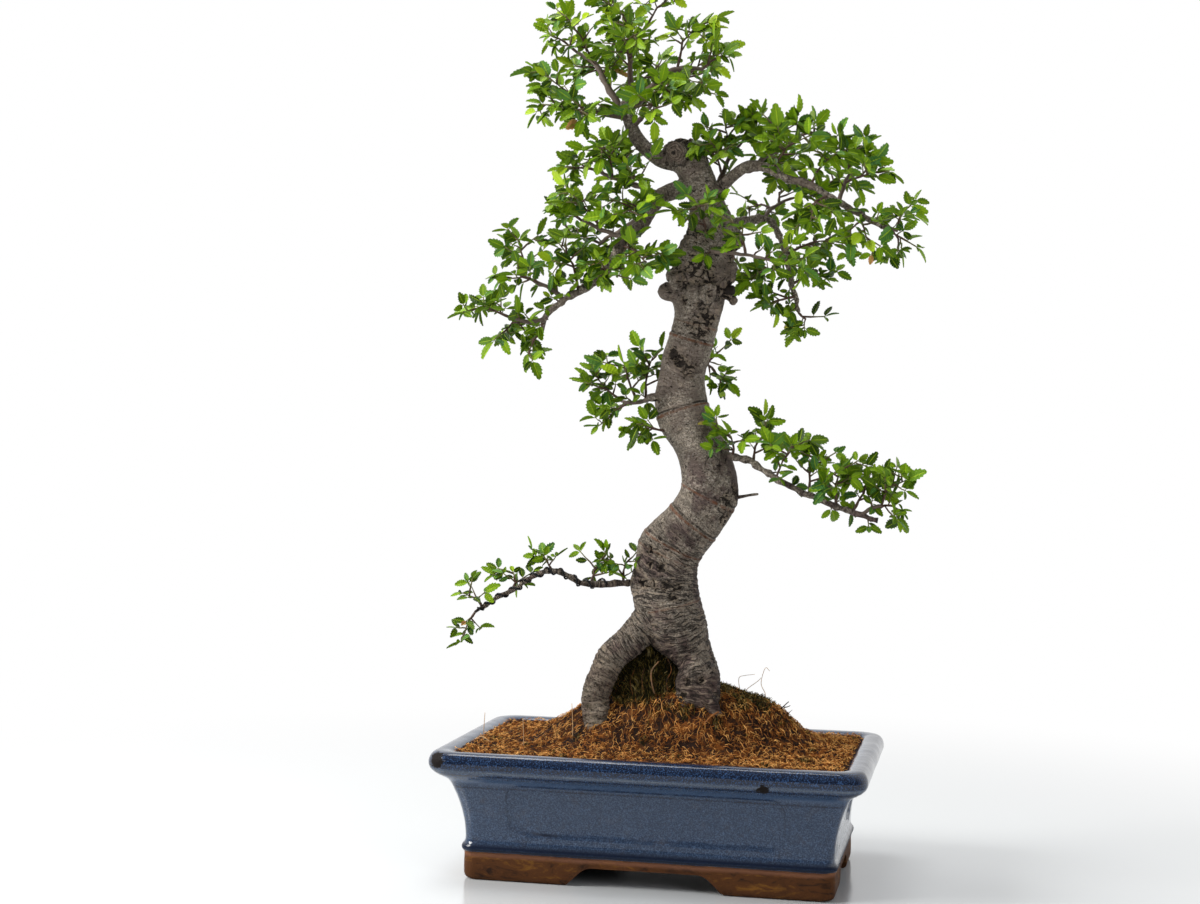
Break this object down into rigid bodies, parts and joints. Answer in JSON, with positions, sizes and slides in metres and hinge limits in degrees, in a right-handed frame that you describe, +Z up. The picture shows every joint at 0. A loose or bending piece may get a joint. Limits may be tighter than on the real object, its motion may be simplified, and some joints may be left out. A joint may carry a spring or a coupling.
{
  "type": "chinese elm bonsai",
  "caption": "Small tree with a winding trunk, toothed leaves on fine twigs and a wired low branch, in a flared rectangular glazed pot filled with mounded soil.",
  "frame": {"origin": "middle of the footprint of the whole tree and pot, on the ground", "axes": "+Z up, +X along the pot to the right as seen from the front, +Y to the back"},
  "size_m": [0.3522, 0.205, 0.6678],
  "materials": {
    "glaze": "glossy speckled blue glaze over brown stoneware, bare at the foot",
    "soil": "matte reddish-brown fibre with moss near the trunk",
    "bark": "matte grey-brown bark",
    "leaf": "slightly glossy fresh green leaves",
    "wire": "dark anodised, dull",
    "plastic": "matte black",
    "clip": "plain drawn wire"
  },
  "bodies": {
    "root": {"pot": "glaze", "soil": "soil", "tree_wood": "bark", "training_wire": "wire", "drain_mesh_left": "plastic", "drain_mesh_right": "plastic", "mesh_clip_left": "clip", "mesh_clip_right": "clip", "spray_apex_left": "leaf", "spray_apex_middle": "leaf", "spray_apex_top": "leaf", "spray_apex_right": "leaf", "spray_apex_back": "leaf", "spray_apex_low": "leaf", "spray_left_far": "leaf", "spray_left_mid": "leaf", "spray_left_fan": "leaf", "spray_left_crown": "leaf", "spray_left_back": "leaf", "spray_left_tip": "leaf", "spray_left_rise": "leaf", "spray_left_front": "leaf", "spray_left_inner": "leaf", "spray_left_low": "leaf", "spray_right_tip": "leaf", "spray_right_rise": "leaf", "spray_right_fan": "leaf", "spray_right_crown": "leaf", "spray_right_back": "leaf", "spray_right_hang": "leaf", "spray_right_mid": "leaf", "spray_right_front": "leaf", "spray_right_under": "leaf", "spray_drop_high": "leaf", "spray_drop_tip": "leaf", "spray_drop_low": "leaf", "spray_drop_right": "leaf", "spray_drop_out": "leaf", "spray_drop_left": "leaf", "spray_front_twig": "leaf", "spray_front_tuft": "leaf", "spray_back_left": "leaf", "spray_back_right": "leaf", "spray_low_near": "leaf", "spray_low_second": "leaf", "spray_low_third": "leaf", "spray_low_fourth": "leaf", "spray_low_fifth": "leaf", "spray_low_sixth": "leaf", "spray_low_tip": "leaf", "spray_wired_tip": "leaf", "spray_wired_curl": "leaf", "spray_wired_mid": "leaf", "spray_wired_top": "leaf", "spray_wired_rise": "leaf", "spray_wired_near": "leaf", "spray_sprig_scar": "leaf"}
  },
  "joints": []
}
